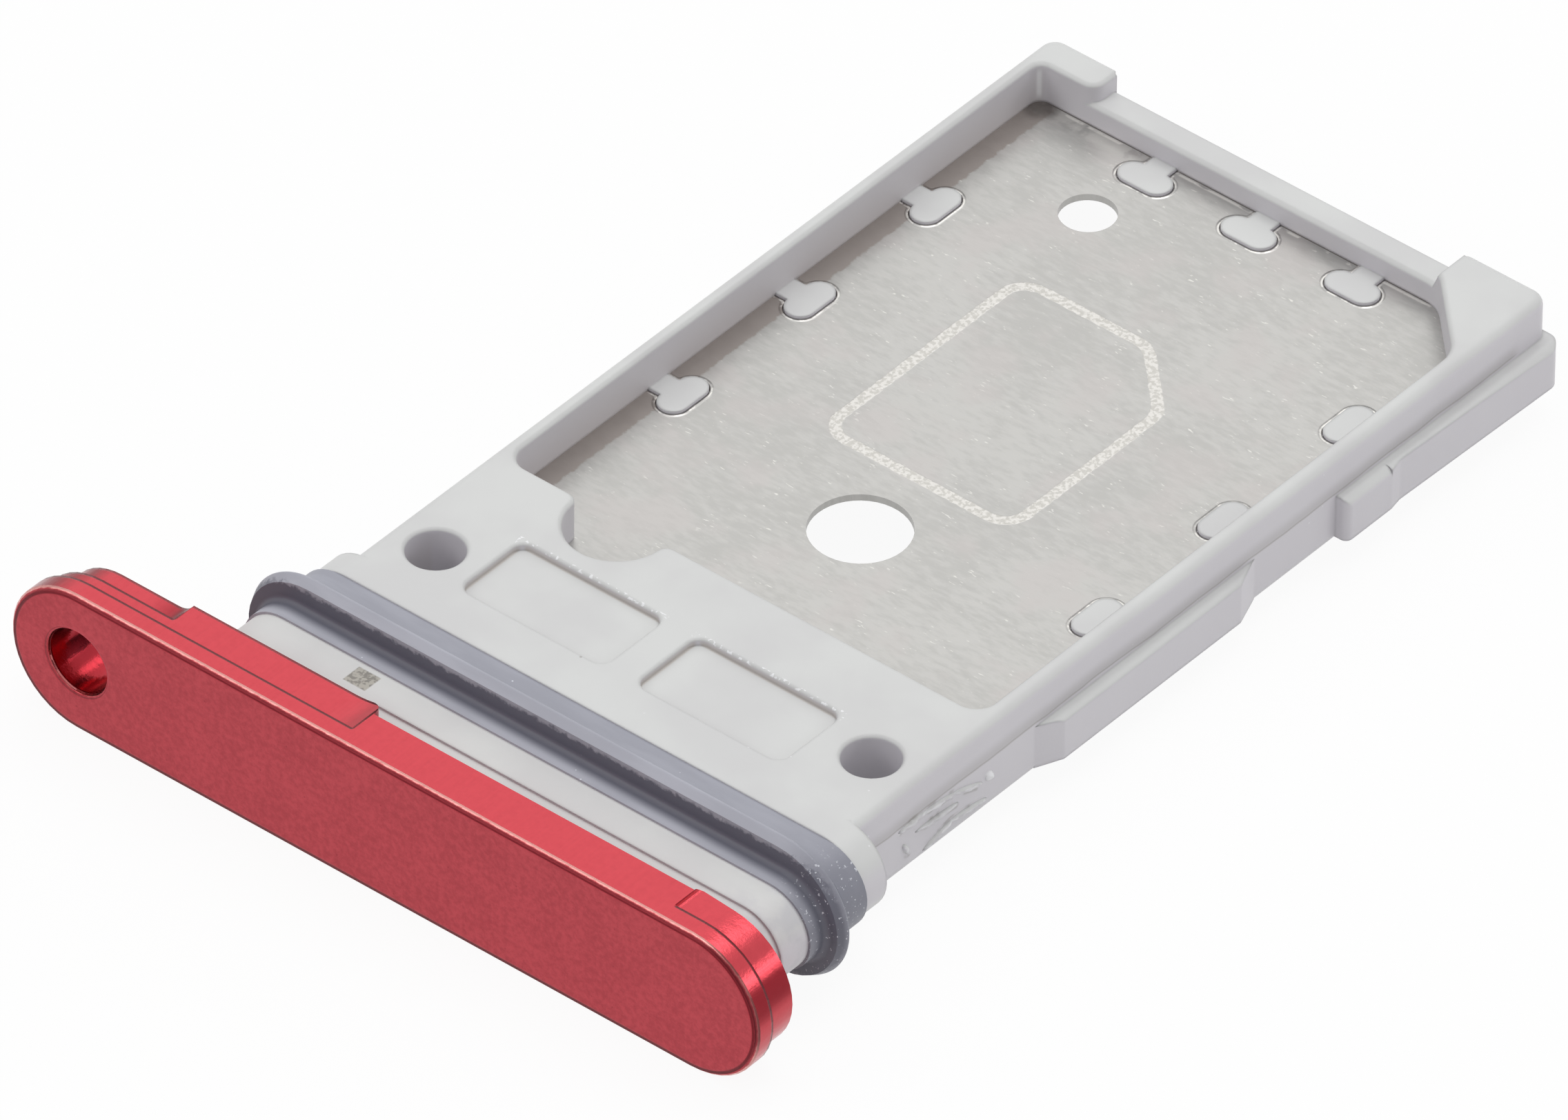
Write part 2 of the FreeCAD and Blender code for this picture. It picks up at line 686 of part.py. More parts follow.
def addRails(body):
    level = -halfThick + named("bottomRound") / 2
    height = halfThick + named("railTop") - named("bottomRound") / 2
    wall = halfTray - named("sideWall") / 2
    face = halfTray + named("railWidth")
    start = pocketNear + named("mainRailStart")
    full = start + named("mainRailRampIn")
    fullEnd = full + named("mainRailLength")
    end = fullEnd + named("mainRailRampOut")
    main = planAt(body, "MainRail", level)
    drawOutline(main, [(wall, start), (halfTray, start), (face, full), (face, fullEnd), (halfTray, end), (wall, end)])
    mainPad = pad(body, main, height)

    farFace = halfTray + named("farRailWidth")
    farStart = pocketNear + named("farRailStart")
    farStop = farEnd - named("farRailEnd")
    flared = farFace + named("farRailFlare")
    far = planAt(body, "FarRail", level)
    drawOutline(far, [(wall, farStart), (farFace, farStart), (flared, farStop), (wall, farStop)])
    farPad = pad(body, far, height)
    mirror(body, "LeftRails", [mainPad, farPad], "YZ_Plane")
    soften(body, "FarRailEnds", uprightAt((flared, farStop), (-flared, farStop)), named("farRailCorner"))

    lugFace = halfTray + named("lugWidth")
    lug = planAt(body, "Lug", level)
    lugEnd = farStart + named("lugLength")
    drawOutline(lug, [(wall, farStart), (lugFace, farStart), (lugFace, lugEnd),
                      (farFace, lugEnd + named("lugRamp")), (wall, lugEnd + named("lugRamp"))])
    pad(body, lug, height)
    soften(body, "LugCorner", uprightAt((lugFace, farStart)), named("lugCorner"))

    tops = acrossAt(body, "RailTops", pocketNear)
    drawCorner(tops, lugFace, named("railTop"), named("railRound"))
    rounded = pocket(body, tops, lugEnd - pocketNear)
    farTops = acrossAt(body, "FarRailTops", lugEnd)
    drawCorner(farTops, flared, named("railTop"), named("railRound"))
    farRounded = pocket(body, farTops, farEnd - lugEnd)
    mirror(body, "LeftRailTops", [rounded, farRounded], "YZ_Plane")


def drawCorner(sketch, x, y, radius):
    """All that a round of the given radius takes off the corner at x, y, and a little beyond it."""
    beyond = radius / 4
    arc = drawArc(sketch, x - radius, y - radius, radius, 0, 90)
    corners = [(x, y - radius), (x + beyond, y - radius), (x + beyond, y + beyond), (x - radius, y + beyond),
               (x - radius, y)]
    lines = [drawLine(sketch, *corners[i], *corners[i + 1]) for i in range(4)]
    for first, second in zip(lines, lines[1:]):
        join(sketch, first, 2, second, 1)
    join(sketch, arc, 1, lines[0], 1)
    join(sketch, arc, 2, lines[-1], 2)
    placePoint(sketch, arc, 3, x - radius, y - radius)
    dimension(sketch, "Radius", (arc,), radius)
    dimension(sketch, "DistanceY", (-1, 1, arc, 1), y - radius)
    dimension(sketch, "DistanceX", (-1, 1, arc, 2), x - radius)
    for line, corner in zip(lines[1:], corners[1:]):
        placePoint(sketch, line, 1, *corner)


def seatPlate(body):
    seat = planAt(body, "PlateSeat", halfPlate)
    drawPlate(seat)
    pocket(body, seat, named("plateThickness"))
    keys(body, pad)


def cutHead(body):
    bores = planAt(body, "LocatingBores", halfThick)
    spread = named("locatingSpread")
    drawCircle(bores, -spread, pocketNear - named("leftLocatingBack"), named("locatingBore") / 2)
    drawCircle(bores, spread, pocketNear - named("rightLocatingBack"), named("locatingBore") / 2)
    pocket(body, bores, named("trayThickness"))

    farSide = pocketNear - named("recessBack")
    nearSide = farSide - named("recessLength")
    recesses = planAt(body, "Recesses", halfThick)
    corners = []
    for x in (named("leftRecessX"), named("rightRecessX")):
        left, right = x - named("recessWidth") / 2, x + named("recessWidth") / 2
        drawBox(recesses, left, right, nearSide, farSide)
        corners += [(left, nearSide), (left, farSide), (right, nearSide), (right, farSide)]
    pocket(body, recesses, named("recessDepth"))
    soften(body, "RecessCorners", uprightAt(*corners), named("recessCorner"))


def easeMouths(body):
    """Takes the sharp edge off the openings and off the top of the low wall."""
    bayEnd = pocketNear - named("bayCentreBack") - named("bayRadius")

    def between(x, y, low, high):
        return abs(x) < halfPocket.value + 1e-3 and low.value - 1e-3 < y < high.value + 1e-3

    def round_(edge):
        return len(edge.Vertexes) == 1

    def mouth(edge):
        return between(edge.CenterOfMass.x, edge.CenterOfMass.y, bayEnd, pocketFar) and not round_(edge)

    def recess(edge):
        return between(edge.CenterOfMass.x, edge.CenterOfMass.y, headFront, bayEnd) and not round_(edge)

    def longEdge(edge):
        return edge.BoundBox.XLength > (named("lowWallRight") - named("lowWallLeft")).value / 2

    def bothSides(level, keep):
        upper, lower = levelAt(level, keep), levelAt(-level, keep)
        return lambda edge: upper(edge) or lower(edge)

    soften(body, "BoreMouths", bothSides(halfThick, round_), named("boreBevel"), "Chamfer")
    soften(body, "PocketMouth", levelAt(halfThick, mouth), named("mouthBevel"), "Chamfer")
    soften(body, "UndersideMouth", levelAt(-halfThick, mouth), named("undersideBevel"), "Chamfer")
    soften(body, "LowWallTop", bothSides(halfThick - named("lowWallDrop"), longEdge), named("lowWallBevel"), "Chamfer")
    soften(body, "RecessMouths", levelAt(halfThick, recess), named("recessBevel"), "Chamfer")


# Seal: one closed rubber ring on the neck, with a tall lip that bears in the slot
def buildSeal():
    body = newBody("seal", named("trayOffset"))
    skin = acrossAt(body, "Skin", flangeFront)
    skinRadius = named("neckRadius") + named("sealSkin")
    drawSlot(skin, named("neckHalfWidth") + named("sealSkin"), skinRadius)
    pad(body, skin, named("sealLength"))

    reach = named("neckHalfWidth") - named("neckRadius") - named("lipEndInset")
    faceY = flangeFront - named("lipFaceBack")
    crestY = flangeFront - named("lipCrestBack")
    sections = []
    for name, y, height in (("LipFace", faceY, named("lipFaceHeight")), ("LipCrest", crestY, named("lipCrestHeight")),
                            ("LipHeel", flangeFront - named("lipHeelBack"), named("lipHeelHeight"))):
        section = acrossAt(body, name, y)
        radius = named("neckRadius") + height
        drawSlot(section, reach + radius, radius)
        sections.append(section)
    lip = body.newObject("PartDesign::AdditiveLoft", "Lip")
    lip.Profile = sections[0]
    lip.Sections = sections[1:]
    lip.Ruled = True
    doc.recompute()

    def around(y, low, high):
        def test(edge):
            return all(near(vertex.Point.y, y) and low < abs(vertex.Point.z) < high for vertex in edge.Vertexes)
        return test

    soften(body, "LipFoot", around(faceY, 0, skinRadius.value + 0.001), named("lipFootRound"))
    soften(body, "LipRidge", around(crestY, skinRadius.value, sizes["capHeight"]), named("lipCrestRound"))
    bore = acrossAt(body, "Bore", flangeFront - named("sealLength"))
    drawSlot(bore, named("neckHalfWidth"), named("neckRadius"))
    pocket(body, bore, named("sealLength"))
    return body


bodies = [buildCap(), buildFrame(), buildPlate(), buildSeal()]
doc.recompute()

for item in doc.Objects:
    if "Invalid" in item.State or "Error" in item.State:
        raise RuntimeError("%s did not compute: %s" % (item.Name, item.State))

os.makedirs("parts", exist_ok=True)
for body in bodies:
    shape = body.Shape
    if shape.isNull() or not shape.isValid() or len(shape.Solids) != 1:
        raise RuntimeError("%s is not one valid solid" % body.Label)
    shape.exportStep("parts/%s.step" % body.Label)
    box = shape.BoundBox
    print("%-12s %6.2f x %5.2f x %5.2f mm, %7.3f mm3" % (body.Label, box.XLength, box.YLength, box.ZLength,
                                                       shape.Volume))
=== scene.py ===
import json
import math

import bmesh
import bpy
from mathutils import Matrix, Vector


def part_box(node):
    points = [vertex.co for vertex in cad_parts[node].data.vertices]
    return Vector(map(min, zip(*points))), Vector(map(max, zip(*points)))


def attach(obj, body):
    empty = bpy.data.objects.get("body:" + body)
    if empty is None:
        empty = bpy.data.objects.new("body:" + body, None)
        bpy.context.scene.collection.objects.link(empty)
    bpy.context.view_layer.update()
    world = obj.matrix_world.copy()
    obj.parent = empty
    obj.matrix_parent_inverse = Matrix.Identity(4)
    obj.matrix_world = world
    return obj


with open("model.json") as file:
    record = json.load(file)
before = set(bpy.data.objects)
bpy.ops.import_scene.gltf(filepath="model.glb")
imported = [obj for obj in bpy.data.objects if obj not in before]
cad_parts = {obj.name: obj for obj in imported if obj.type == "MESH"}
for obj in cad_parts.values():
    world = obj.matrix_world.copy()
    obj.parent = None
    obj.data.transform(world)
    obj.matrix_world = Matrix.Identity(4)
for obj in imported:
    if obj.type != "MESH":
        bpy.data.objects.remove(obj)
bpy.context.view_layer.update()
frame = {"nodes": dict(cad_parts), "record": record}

mm = 0.001


# What the looks take from the solids, in millimetres
def boxOf(node):
    return [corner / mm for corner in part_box(node)]


capLow, capHigh = boxOf("end_cap")
frameLow, frameHigh = boxOf("tray_frame")
plateLow, plateHigh = boxOf("floor_plate")
middleZ = (capLow.z + capHigh.z) / 2
neckX = (frameLow.x + frameHigh.x) / 2
pinHole = next(mount for mount in frame["record"]["mounts"] if mount["name"] == "ejector_pin_hole")
pinX, pinRadius = pinHole["pos_m"][0] / mm, pinHole["dims"]["r_mm"]

# The walls of the card pocket, into which the floor plate's rim goes
plateRim = 0.12
pocketLeft = plateLow.x + plateRim
pocketRight = plateHigh.x - plateRim
pocketFar = plateHigh.y - plateRim


def linear(red, green, blue):
    # a colour read from 0 to 255, as the shader wants it
    def one(value):
        value /= 255
        return value / 12.92 if value <= 0.04045 else ((value + 0.055) / 1.055) ** 2.4
    return one(red), one(green), one(blue), 1.0


# A number that a material works out. Sums with it add the nodes that they need.
class Value:
    def __init__(self, board, socket):
        self.board = board
        self.socket = socket

    def __add__(self, other):
        return self.board.math("ADD", self, other)

    def __sub__(self, other):
        return self.board.math("SUBTRACT", self, other)

    def __rsub__(self, other):
        return self.board.math("SUBTRACT", other, self)

    def __mul__(self, other):
        return self.board.math("MULTIPLY", self, other)

    def __truediv__(self, other):
        return self.board.math("DIVIDE", self, other)

    def __abs__(self):
        return self.board.math("ABSOLUTE", self)


# One material's nodes. Each method adds what it needs and gives back the result.
class Board:
    def __init__(self, name, settings):
        self.material = bpy.data.materials.new(name)
        self.material.use_nodes = True
        self.tree = self.material.node_tree
        self.shader = self.tree.nodes["Principled BSDF"]
        for socket, value in settings.items():
            self.shader.inputs[socket].default_value = value
        coordinates = self.add("ShaderNodeTexCoord").outputs
        self.normal = coordinates["Normal"]
        self.place = self.scaled(coordinates["Object"], (1 / mm, 1 / mm, 1 / mm))  # millimetres

    def add(self, kind, inputs=(), **settings):
        node = self.tree.nodes.new(kind)
        for name, value in settings.items():
            setattr(node, name, value)
        for socket, value in dict(inputs).items():
            self.feed(node.inputs[socket], value)
        return node

    def feed(self, socket, value):
        if isinstance(value, Value):
            value = value.socket
        if isinstance(value, bpy.types.NodeSocket):
            self.tree.links.new(value, socket)
        else:
            socket.default_value = value

    def finish(self, socket, value):
        self.feed(self.shader.inputs[socket], value)

    def scaled(self, vector, scale, turn=0.0):
        return self.add("ShaderNodeMapping", {"Vector": vector, "Scale": scale,
                                              "Rotation": (0, 0, turn)}).outputs["Vector"]

    def split(self, vector):
        node = self.add("ShaderNodeSeparateXYZ", {0: vector})
        return [Value(self, node.outputs[axis]) for axis in "XYZ"]

    def math(self, operation, first, second=0.0, third=0.0, clamp=False):
        node = self.add("ShaderNodeMath", {0: first, 1: second, 2: third}, operation=operation,
                        use_clamp=clamp)
        return Value(self, node.outputs[0])

    def most(self, first, *others):
        for other in others:
            first = self.math("MAXIMUM", first, other)
        return first

    def least(self, first, *others):
        for other in others:
            first = self.math("MINIMUM", first, other)
        return first

    def length(self, across, up):
        return self.math("SQRT", across * across + up * up)

    def noise(self, scale, detail, roughness=0.5, vector=None):
        node = self.add("ShaderNodeTexNoise", {"Vector": vector or self.place, "Scale": scale,
                                               "Detail": detail, "Roughness": roughness})
        return Value(self, node.outputs["Fac"])

    def stretched(self, scale, detail, roughness=0.5, turn=0.0):
        # noise with a scale of its own along each axis
        return self.noise(1, detail, roughness, self.scaled(self.place, scale, turn))

    def waver(self, scale, detail, depth, roughness=0.5):
        # noise about 0, by half of depth at most either way
        return (self.noise(scale, detail, roughness) - 0.5) * depth

    def patches(self, scale, detail, low, high, roughness=0.5):
        # noise cut off at a level: 1 in patches, 0 elsewhere, with soft edges
        return self.between(self.noise(scale, detail, roughness), low, high)

    def spots(self, scale, radius, core=0.6):
        # 1 in small round spots, 0 elsewhere, fading outside a core that is a share of the radius
        node = self.add("ShaderNodeTexVoronoi", {"Vector": self.place, "Scale": scale})
        return self.between(node.outputs["Distance"], radius, radius * core)

    def between(self, value, low, high):
        # runs softly from 0 at low to 1 at high, either way round
        node = self.add("ShaderNodeMapRange", {"Value": value, "From Min": low, "From Max": high},
                        interpolation_type="SMOOTHSTEP")
        return Value(self, node.outputs["Result"])

    def inside(self, value, low, high, soft):
        rise = self.between(value, low - soft, low + soft)
        return rise * self.between(value, high + soft, high - soft)

    def vary(self, value, low, high):
        # a number between low and high as value goes from 0 to 1
        node = self.add("ShaderNodeMapRange", {"Value": value, "To Min": low, "To Max": high})
        return Value(self, node.outputs["Result"])

    def paint(self, below, above, share):
        # lays one colour over another, by a share from 0 to 1
        return self.add("ShaderNodeMix", {0: share, 6: below, 7: above}, data_type="RGBA").outputs[2]

    def slotDistance(self, across, up, halfLength, radius):
        # how far a point lies outside a long round-ended slot; below 0 inside it
        along = self.most(abs(across) - (halfLength - radius), 0.0)
        return self.length(along, up) - radius

    def strokeDistance(self, across, up, start, end):
        # distance from a straight stroke between two places
        runX, runY = end[0] - start[0], end[1] - start[1]
        awayX, awayY = across - start[0], up - start[1]
        share = self.math("DIVIDE", awayX * runX + awayY * runY, runX * runX + runY * runY, clamp=True)
        return self.length(awayX - share * runX, awayY - share * runY)

    def rounded(self, radius, samples=6):
        # a normal that runs softly over the edges
        return self.add("ShaderNodeBevel", {"Radius": radius * mm}, samples=samples).outputs["Normal"]

    def bump(self, height, strength, depth, below=None):
        inputs = {"Height": height, "Strength": strength, "Distance": depth * mm}
        if below is not None:
            inputs["Normal"] = below
        return self.add("ShaderNodeBump", inputs).outputs["Normal"]


# How the four finishes are written: places and widths are in millimetres, slopes in degrees. Two
# numbers are the ends of a soft step, and three are low, high and softness. Noise is scale, detail
# and roughness, and patches add the levels between which they fade in. A share is how strongly a
# colour covers. What ends in Normal picks faces by the way they look.
capFinish = {
    "face": linear(188, 69, 78),
    "faceDark": linear(170, 58, 67),
    "grain": (9, 3, 0.7),
    "cloud": (1.3, 2),
    "grainShare": 0.75,
    "toneRange": (0.36, 0.64),
    "speck": linear(140, 40, 50),
    "speckSize": (5, 0.1),
    "speckPatches": (2, 1, 0.5, 0.56),
    "speckShare": 0.5,

    "turned": linear(196, 72, 80),         # the turned ends and the sides of the pads
    "turnedNormal": (0.6, 0.2),
    "marks": ((22, 0.7, 22), 2),
    "marksCover": (0.5, 1.0),
    "bandDark": linear(118, 22, 32),       # a painted dark reflection in a band round each turned end
    "rightBand": (9, 35, 7),               # degrees above the middle
    "leftBand": (43, 71, 7),
    "bandWaver": 5.0,
    "bandNormal": (0.1, 0.2),
    "bandShare": 0.75,

    "edge": linear(255, 185, 178),         # a painted highlight on the worn edge of the face
    # painted dark reflection along the edge, and painted shade in the creases behind the rim
    "edgeDark": linear(112, 24, 34),
    "edgeWidth": 0.06,
    "edgeNormal": (0.3, 0.93, 0.04),
    "edgeDepth": (1.2, 1.05),              # in edge widths behind the face, as the next two
    "wornRagged": 0.5,
    "wornDepth": (0.62, 0.95),
    "wornShare": 0.85,
    "lineWidth": 0.05,                     # a painted dark reflection in a line inside the worn edge
    "lineSoft": 0.012,
    "lineNormal": (-0.8, -0.9),
    "lineCover": (0.7, 1.2),
    "dulledX": (5.9, 6.5),                 # towards the right end a painted dark reflection covers the worn edge
    "dulledUp": (-0.6, 0.0),
    "dulledShare": 0.8,
    "edgeDome": 3.2,                       # the bump that rounds the edge, in edge widths
    "edgeRoll": 0.08,                      # the face beside its worn edge rolls over
    "rollNormal": (-0.9, -0.97),
    "rollDrop": 5.5,                       # how steeply

    "boreShade": linear(150, 28, 40),
    "boreLip": 0.025,                      # the shade begins so far outside the bore
    "boreSoft": 0.01,
    "boreShare": 0.7,

    "rimBack": -9.65,
    "padBack": -9.37,                      # the pads' back edge at the pin recess
    "padLeft": -0.81,                      # the pads lie outside these two
    "padRight": 5.3,
    "recessRight": -4.5,
    "stepSoft": 0.05,
    "backEdge": 0.05,                      # how far a back edge is rolled over
    "backDepth": 0.025,
    "creaseBack": 0.03,
    "crease": (-0.035, 0.012, 0.012),      # painted shade in the crease beside a step's back edge
    # painted shade where the pin recess runs out, placed by the next three
    "runOutY": (0.02, 0.0, 0.02),          # where the pin recess runs out softly, from the pads'
    "runOutX": (-0.75, -0.1),              # back to the cap's, and beside the recess's right end
    "runOutEnd": (0.02, 0.0),
    "runOutShare": 0.7,
    "creaseShare": 0.85,

    "metallic": (0.8, 0.95),
    "faceRoughness": 0.44,
    "turnedRoughness": 0.17,
    "turnedGloss": (0.7, 1.0),
    "edgeGloss": 0.12,
    "grainBump": (0.3, 0.012),
    "marksBump": (0.12, 0.01),
}


def darkReflectionBands(board, colour, turned, marks, normalX, normalZ):
    # a painted dark reflection in a band round each turned end
    look = capFinish
    slope = board.math("DEGREES", board.math("ARCTAN2", normalZ, abs(normalX)))
    slope = slope + (marks - 0.5) * look["bandWaver"]
    for side, degrees in ((1, look["rightBand"]), (-1, look["leftBand"])):
        facing = board.between(normalX * side, *look["bandNormal"])
        band = turned * facing * board.inside(slope, *degrees)
        colour = board.paint(colour, look["bandDark"], band * look["bandShare"])
    return colour


def wornEdgeReflections(board, colour, grain, place, normalY):
    # the edge of the face is rolled over, and worn with a painted highlight towards the top; painted dark
    # reflection lies in a line inside it and towards the right end
    look = capFinish
    x, y, z = place
    width = look["edgeWidth"]
    depth = (y - capLow.y) / width
    edge = board.inside(abs(normalY), *look["edgeNormal"]) * board.between(depth, *look["edgeDepth"])
    # painted highlight along the worn edge
    worn = edge * board.between(depth + grain * look["wornRagged"], *look["wornDepth"])
    colour = board.paint(colour, look["edge"], worn * look["wornShare"])
    up = z - middleZ
    outside = board.slotDistance(x, up, capHigh.x, middleZ)
    # painted dark reflection in a line inside the worn edge
    line = board.inside(outside, -width - look["lineWidth"], -width, look["lineSoft"])
    line = line * board.between(normalY, *look["lineNormal"]) * board.vary(grain, *look["lineCover"])
    colour = board.paint(colour, look["edgeDark"], line)
    # painted dark reflection over the edge towards the right end
    darkReflection = edge * board.between(x, *look["dulledX"]) * board.between(up, *look["dulledUp"])
    colour = board.paint(colour, look["edgeDark"], darkReflection * look["dulledShare"])

    middle = depth - 0.5
    shaped = board.bump(edge * (0.25 - middle * middle), 1.0, look["edgeDome"] * width)
    rolled = board.most(outside + (width + look["edgeRoll"]), 0.0)
    drop = rolled * rolled * board.between(normalY, *look["rollNormal"])
    return colour, edge, board.bump(1.0 - drop * look["rollDrop"], 1.0, 1.0, shaped)


def backSteps(board, place):
    # the steps behind the rim: painted shade in the crease at their feet and where the pin recess runs out,
    # and how far their edges roll over
    look = capFinish
    x, y, z = place
    left, right, recess, soft = (look[name] for name in ("padLeft", "padRight", "recessRight", "stepSoft"))
    padded = board.most(board.between(x, left, left - soft), board.between(x, right, right + soft))
    recessed = board.between(x, recess, recess - soft)
    falls = board.between(y, capHigh.y - look["backEdge"], capHigh.y)
    creaseShade = board.between(y, capHigh.y - look["creaseBack"], capHigh.y)
    low, high, creaseSoft = look["crease"]
    for step, back in ((padded, look["rimBack"]), (recessed, look["padBack"])):
        falls = falls + step * board.between(y, back - look["backEdge"], back)
        creaseShade = creaseShade + step * board.inside(y, back + low, back + high, creaseSoft)
    start, end, runSoft = look["runOutY"]
    runOutShade = board.inside(y, look["padBack"] + start, capHigh.y + end, runSoft)
    for ends in (look["runOutX"], look["runOutEnd"]):
        runOutShade = runOutShade * board.between(x, *(recess + offset for offset in ends))
    return board.most(creaseShade, runOutShade * look["runOutShare"]), falls


def anodisedCap():
    look = capFinish
    board = Board("anodisedCap", {})
    place = board.split(board.place)
    x, y, z = place
    normalX, normalY, normalZ = board.split(board.normal)
    grain = board.noise(*look["grain"])
    tone = grain * look["grainShare"] + board.noise(*look["cloud"]) * (1 - look["grainShare"])
    colour = board.paint(look["faceDark"], look["face"], board.between(tone, *look["toneRange"]))
    specks = board.spots(*look["speckSize"]) * board.patches(*look["speckPatches"])
    colour = board.paint(colour, look["speck"], specks * look["speckShare"])

    # turned marks run from the face backwards on the rounded ends and the pads
    marks = board.stretched(*look["marks"])
    turned = board.between(abs(normalY), *look["turnedNormal"])
    colour = board.paint(colour, look["turned"], turned * board.vary(marks, *look["marksCover"]))
    # painted dark reflections round the turned ends
    colour = darkReflectionBands(board, colour, turned, marks, normalX, normalZ)
    colour, edge, shaped = wornEdgeReflections(board, colour, grain, place, normalY)

    # painted shade inside the pin bore, from just outside its mouth
    mouth = pinRadius + look["boreLip"]
    bored = board.between(board.length(x - pinX, z - middleZ), mouth + look["boreSoft"], mouth)
    colour = board.paint(colour, look["boreShade"], bored * look["boreShare"])
    # painted shade in the creases behind the rim and in the pin recess's run-out
    dark, falls = backSteps(board, place)
    stepped = turned * (1.0 - bored)
    dark = board.math("MULTIPLY", stepped * dark, look["creaseShare"], clamp=True)
    board.finish("Base Color", board.paint(colour, look["edgeDark"], dark))

    board.finish("Metallic", board.vary(turned, *look["metallic"]))
    smooth = board.most(turned * board.vary(marks, *look["turnedGloss"]), bored)
    rough = board.vary(smooth, look["faceRoughness"], look["turnedRoughness"])
    board.finish("Roughness", rough - edge * look["edgeGloss"])
    shaped = board.bump(1.0 - stepped * falls, 1.0, look["backDepth"], shaped)
    shaped = board.bump(grain, *look["grainBump"], shaped)
    board.finish("Normal", board.bump(marks, *look["marksBump"], shaped))
    return board.material


# The torn gate on the head's right side: low ridges of plastic, and a burr at their far end.
# A place on the side is given by its Y and Z, in millimetres.
gateScar = {
    "sideX": 5.8,
    "ridges": (                  # each from one place to the next
        ((-5.13, 1.31), (-4.6, 1.33)), ((-4.6, 1.33), (-3.9, 1.26)), ((-3.9, 1.26), (-3.3, 1.06)),
        ((-4.75, 1.08), (-3.85, 1.03)), ((-4.57, 0.63), (-3.97, 0.78)), ((-3.97, 0.78), (-3.2, 0.7)),
        ((-5.05, 0.98), (-4.95, 0.8)),
    ),
    "proud": 0.055,
    "halfWidth": 0.05,
    "overlap": 0.05,             # how far each ridge runs into the next
    "burr": (-3.11, 1.09),
    "burrSize": (0.07, 0.085, 0.07),
    "burrTilt": 0.5,             # radians
    "dent": 0.4,                 # share of a ridge's size by which it is uneven
    "dentWaves": (23, 31),       # radians a millimetre, along Y and Z
    "dentShift": (5, 3),         # so that no two ridges are dented alike
}


frameFinish = {
    "plastic": linear(209, 210, 209),
    "shade": linear(203, 203, 203),
    "cloud": (0.55, 3, 0.35, 0.65),
    "side": linear(212, 208, 215),         # a painted tint of the light: upright faces look a little lilac
    "sideNormal": (0.6, 0.2),
    "sideShare": 0.7,
    "fleck": linear(236, 236, 238),
    "fleckSize": (2.3, 0.055),
    "fleckPatches": (0.8, 1, 0.52, 0.6),
    "fleckShare": 0.6,
    "dirt": linear(150, 146, 142),
    "dirtSize": (1.1, 0.03),
    "dirtPatches": (1.7, 1, 0.56, 0.62),
    "dirtShare": 0.55,

    "inner": linear(190, 183, 177),        # painted shade, a little brownish, on the left wall's inner side, towards its foot, and at the foot of the recess walls
    "innerX": (-3.6, -3.3, 0.03),
    "innerNormal": (0.3, 0.8),
    "innerZ": (2.1, 1.4),
    "innerShare": 0.25,
    "glintX": (-3.5, -3.45, 0.015),        # a painted highlight, a bright thread in the pocket's far left corner
    "glintY": (9.15, 9.25),
    "glintZ": (1.45, 1.95, 0.08),
    "glintShare": 0.9,

    "recessCentres": (-0.74, 2.64),
    "recessHalf": (1.42, 0.75),
    "recessY": -5.04,
    "recessWall": (-0.07, 0.0, 0.02),      # outwards from the recess's edge
    "recessTop": (2.07, 1.96),
    "recessFoot": (1.5, 1.6),
    "recessShare": 0.8,
    "mouthEdge": (-0.03, 0.03, 0.01),
    "mouthY": (-4.5, -4.4),
    "mouthZ": (2.02, 2.05),
    "mouthPatches": (14, 1, 0.56, 0.62),

    # the dark parting line, a painted shadow above it, and painted shade beside the gate's ridges
    "partingShade": linear(142, 138, 133),
    "partingZ": 1.38,
    "partingX": (5.7, 6.1, 0.04),
    "partingY": (-6.1, 9.2, 0.12),
    "partingNormal": (0.7, 0.9),
    "partingWaver": (0.9, 2, 0.12),
    "partingLine": (0.0, 0.03, 0.025),     # above the line
    "lineShare": 0.75,
    "fadeAbove": (0.3, 0.05),
    "fadeFrom": (-0.03, 0.02),
    "fadeShare": 0.3,

    "gateX": (5.78, 5.9, 0.01),
    "gateY": (-6.1, -2.6, 0.12),
    "ripple": (2.2, 1, 0.05),
    "tornWidth": (0.035, 0.01),
    "tornPatches": (5, 2, 0.36, 0.56),
    "tornShare": 0.8,
    "besideWidth": (0.04, 0.09, 0.02),
    "besidePatches": (3, 2, 0.5, 0.62),
    "besideShare": 0.45,
    "burrWidth": (0.1, 0.06),

    "scuff": linear(190, 190, 195),        # the right end of the neck is scuffed and a little dusty
    "scuffX": (4.9, 6.0),
    "scuffY": (-6.6, -6.75),
    "scuffPatches": (2.4, 4, 0.4, 0.62),
    "scuffShare": 0.55,

    "markLight": linear(168, 164, 154),    # the speckled square on the neck
    "markDark": linear(122, 118, 110),
    "markX": (-2.1, -1.68, 0.015),
    "markY": (-8.4, -8.03, 0.015),
    "markZ": (1.9, 1.95),
    "markPatches": (13, 1, 0.42, 0.56, 0.8),
    "markShare": 0.9,

    "edgeRadius": 0.09,
    "fine": (16, 2),
    "roughness": (0.36, 0.5),
    "specular": 0.45,
    "fineBump": (0.16, 0.006),
}


